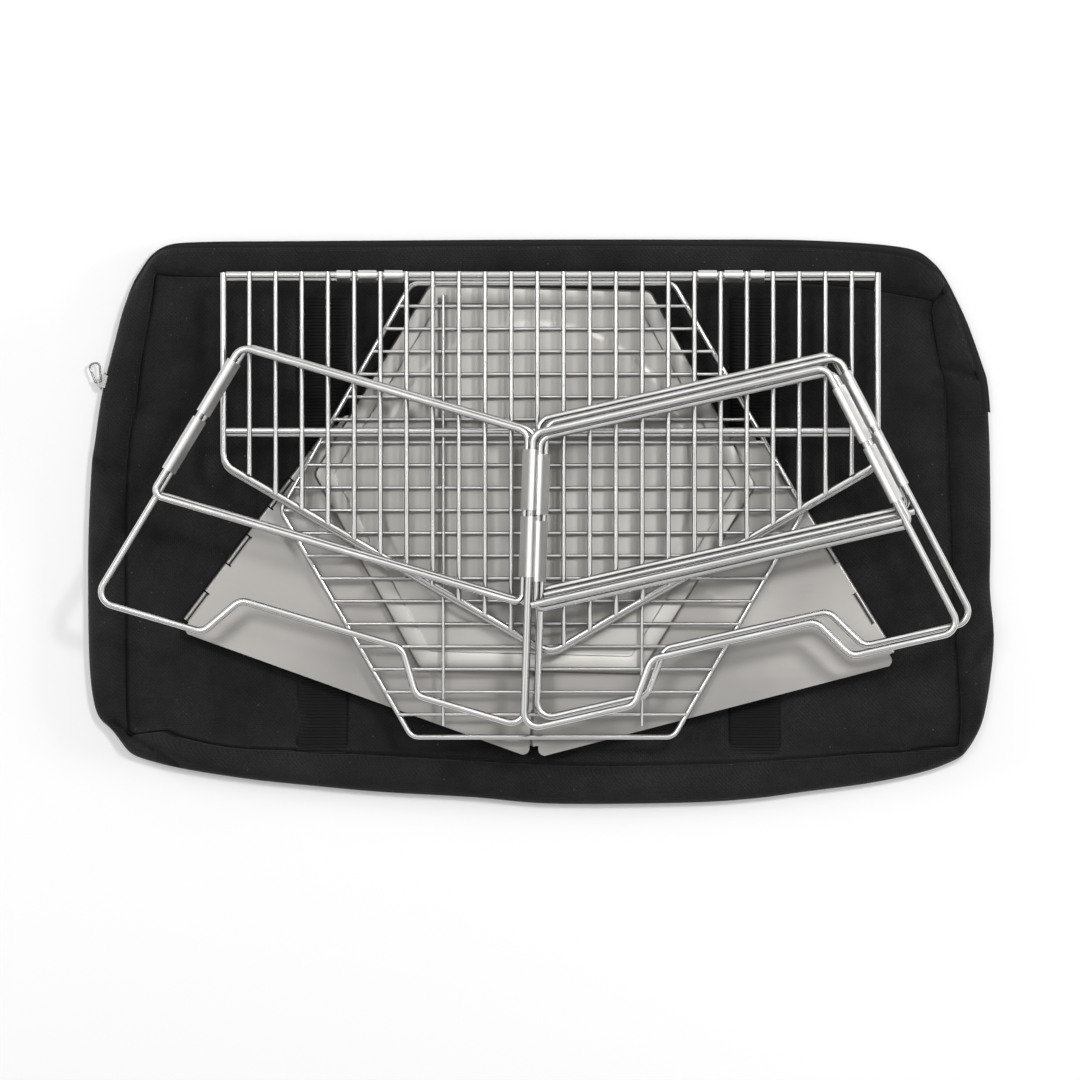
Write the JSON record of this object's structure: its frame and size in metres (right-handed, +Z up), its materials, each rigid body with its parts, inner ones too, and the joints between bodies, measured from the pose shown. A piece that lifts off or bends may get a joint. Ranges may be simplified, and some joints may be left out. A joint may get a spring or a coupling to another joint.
{
  "type": "folding fire bowl grill",
  "caption": "Folding fire bowl grill packed flat on its zip bag: hinged steel petals, hexagonal tray, charcoal grate, folding cook grate and a folding wire stand.",
  "frame": {"origin": "on the ground under the middle of the carry bag", "axes": "+X to the right along the zip side of the bag, +Y towards the zip, +Z up through the pile"},
  "size_m": [0.5738, 0.3578, 0.0756],
  "materials": {
    "bag_cloth": "woven polyester",
    "webbing": "ribbed webbing",
    "zip_coil": "moulded coil",
    "zip_metal": "dark plated",
    "sheet_steel": "brushed",
    "rolled_steel": "satin",
    "chrome_wire": "polished"
  },
  "bodies": {
    "bag": {"bag_back_panel": "bag_cloth", "bag_front_panel": "bag_cloth", "bag_gusset": "bag_cloth", "bag_strap_left": "webbing", "bag_strap_right": "webbing", "zip_tape": "bag_cloth", "zip_teeth": "zip_coil"},
    "zip_slider": {"zip_slider": "zip_metal"},
    "zip_pull": {"zip_pull": "zip_metal"},
    "petal_6": {"bowl_petal_6": "sheet_steel"},
    "petal_5": {"bowl_petal_5": "sheet_steel", "bowl_pin_5_4": "sheet_steel", "bowl_pin_5_6": "sheet_steel"},
    "petal_4": {"bowl_petal_4": "sheet_steel"},
    "petal_3": {"bowl_petal_3": "sheet_steel", "bowl_pin_3_2": "sheet_steel", "bowl_pin_3_4": "sheet_steel"},
    "petal_2": {"bowl_petal_2": "sheet_steel"},
    "petal_1": {"bowl_petal_1": "sheet_steel", "bowl_pin_1_6": "sheet_steel", "bowl_pin_1_2": "sheet_steel"},
    "tray": {"base_tray": "sheet_steel"},
    "charcoal_grate": {"coal_frame": "chrome_wire", "coal_bars": "chrome_wire", "coal_cross_wires": "chrome_wire"},
    "cook_lower": {"cook_lower_frame": "chrome_wire", "cook_lower_bars": "chrome_wire", "cook_lower_crossbar": "chrome_wire"},
    "cook_clips": {"cook_clip_left": "rolled_steel", "cook_clip_right": "rolled_steel"},
    "cook_upper": {"cook_upper_frame": "chrome_wire", "cook_upper_bars": "chrome_wire", "cook_upper_crossbar": "chrome_wire"},
    "short_frame_6": {"short_frame_6": "chrome_wire"},
    "leg_frame_5": {"leg_frame_5": "chrome_wire", "leg_crossbar_5": "chrome_wire", "sleeves_5_4": "rolled_steel", "sleeves_5_6": "rolled_steel"},
    "short_frame_4": {"short_frame_4": "chrome_wire"},
    "leg_frame_3": {"leg_frame_3": "chrome_wire", "leg_crossbar_3": "chrome_wire", "sleeves_3_2": "rolled_steel", "sleeves_3_4": "rolled_steel"},
    "short_frame_2": {"short_frame_2": "chrome_wire", "hooks_1_2": "rolled_steel"},
    "leg_frame_1": {"leg_frame_1": "chrome_wire", "leg_crossbar_1": "chrome_wire", "sleeves_1_6": "rolled_steel"}
  },
  "joints": [
    {"name": "zip_slide", "type": "slide", "parent": "bag", "child": "zip_slider", "axis": [0.2547, 0.967, 0], "range_m": [0, 0.04]},
    {"name": "zip_pull_swing", "type": "hinge", "parent": "zip_slider", "child": "zip_pull", "pos_m": [-0.28, 0.08821, 0.0065], "axis": [-0.9734, -0.2291, 0], "range_deg": [-15, 75]},
    {"name": "bowl_lift", "type": "slide", "parent": "bag", "child": "petal_6", "axis": [0, 0, 1], "range_m": [0, 0.15]},
    {"name": "bowl_fold", "type": "hinge", "parent": "petal_6", "child": "petal_5", "pos_m": [0.13584, 0.0567, 0.0136], "axis": [-0.527, 0.8499, 0], "range_deg": [0, 128]},
    {"name": "bowl_fold_5_4", "type": "hinge", "parent": "petal_5", "child": "petal_4", "pos_m": [0.003, 0.0221, 0.0178], "axis": [-0.0454, -0.999, 0], "range_deg": [0, 223.52]},
    {"name": "bowl_fold_4_3", "type": "hinge", "parent": "petal_4", "child": "petal_3", "pos_m": [0.13584, 0.0567, 0.022], "axis": [-0.527, 0.8499, 0], "range_deg": [0, 128.02]},
    {"name": "bowl_fold_3_2", "type": "hinge", "parent": "petal_3", "child": "petal_2", "pos_m": [0.003, 0.0221, 0.022], "axis": [-0.0454, -0.999, 0], "range_deg": [0, 54.12]},
    {"name": "bowl_fold_6_1", "type": "hinge", "parent": "petal_6", "child": "petal_1", "pos_m": [0.003, 0.0221, 0.0136], "axis": [0.0454, 0.999, 0], "range_deg": [0, 54.12]},
    {"name": "tray_lift", "type": "slide", "parent": "petal_6", "child": "tray", "axis": [0, 0, 1], "range_m": [0, 1.051]},
    {"name": "coal_lift", "type": "slide", "parent": "tray", "child": "charcoal_grate", "axis": [0, 0, 1], "range_m": [0, 0.15]},
    {"name": "cook_lift", "type": "slide", "parent": "charcoal_grate", "child": "cook_lower", "axis": [0, 0, 1], "range_m": [0, 0.15]},
    {"name": "cook_fold", "type": "hinge", "parent": "cook_lower", "child": "cook_clips", "pos_m": [0.006, 0.153, 0.0432], "axis": [-1, 0, 0], "range_deg": [0, 66.44]},
    {"name": "cook_fold_upper", "type": "hinge", "parent": "cook_clips", "child": "cook_upper", "pos_m": [0.006, 0.155, 0.04778], "axis": [-1, 0, 0], "range_deg": [0, 113.6]},
    {"name": "stand_lift", "type": "slide", "parent": "cook_lower", "child": "leg_frame_1", "axis": [0, 0, 1], "range_m": [0, 0.76]},
    {"name": "stand_fold", "type": "hinge", "parent": "short_frame_6", "child": "leg_frame_5", "pos_m": [0.18235, 0.10511, 0.05588], "axis": [-0.4594, 0.8882, 0], "range_deg": [0, 124.2]},
    {"name": "stand_fold_5_4", "type": "hinge", "parent": "leg_frame_5", "child": "short_frame_4", "pos_m": [-0.00055, 0.05224, 0.06678], "axis": [-0.0323, -0.9995, 0], "range_deg": [0, 227.42]},
    {"name": "stand_fold_4_3", "type": "hinge", "parent": "short_frame_4", "child": "leg_frame_3", "pos_m": [0.18282, 0.09373, 0.06678], "axis": [-0.4594, 0.8882, 0], "range_deg": [0, 125.52]},
    {"name": "stand_fold_3_2", "type": "hinge", "parent": "leg_frame_3", "child": "short_frame_2", "pos_m": [-0.00804, 0.05613, 0.06698], "axis": [-0.0323, -0.9995, 0], "range_deg": [0, 51.72]},
    {"name": "stand_fold_6_1", "type": "hinge", "parent": "leg_frame_1", "child": "short_frame_6", "pos_m": [-0.00102, 0.06361, 0.05588], "axis": [-0.0323, -0.9995, 0], "range_deg": [0, 52.72]}
  ],
  "couplings": [
    {"joint": "bowl_fold_5_4", "follows": "bowl_fold", "ratio": 1.7461},
    {"joint": "bowl_fold_4_3", "follows": "bowl_fold", "ratio": 1},
    {"joint": "bowl_fold_3_2", "follows": "bowl_fold", "ratio": 0.42266},
    {"joint": "bowl_fold_6_1", "follows": "bowl_fold", "ratio": 0.42266},
    {"joint": "tray_lift", "follows": "bowl_fold", "m_per_rad": 0.47},
    {"joint": "cook_fold", "follows": "stand_lift", "rad_per_m": 1.5254},
    {"joint": "cook_fold_upper", "follows": "stand_lift", "rad_per_m": 2.6083},
    {"joint": "stand_fold_5_4", "follows": "stand_fold", "ratio": 1.8309},
    {"joint": "stand_fold_4_3", "follows": "stand_fold", "ratio": 1.0105},
    {"joint": "stand_fold_3_2", "follows": "stand_fold", "ratio": 0.41626},
    {"joint": "stand_fold_6_1", "follows": "stand_fold", "ratio": 0.42432}
  ]
}
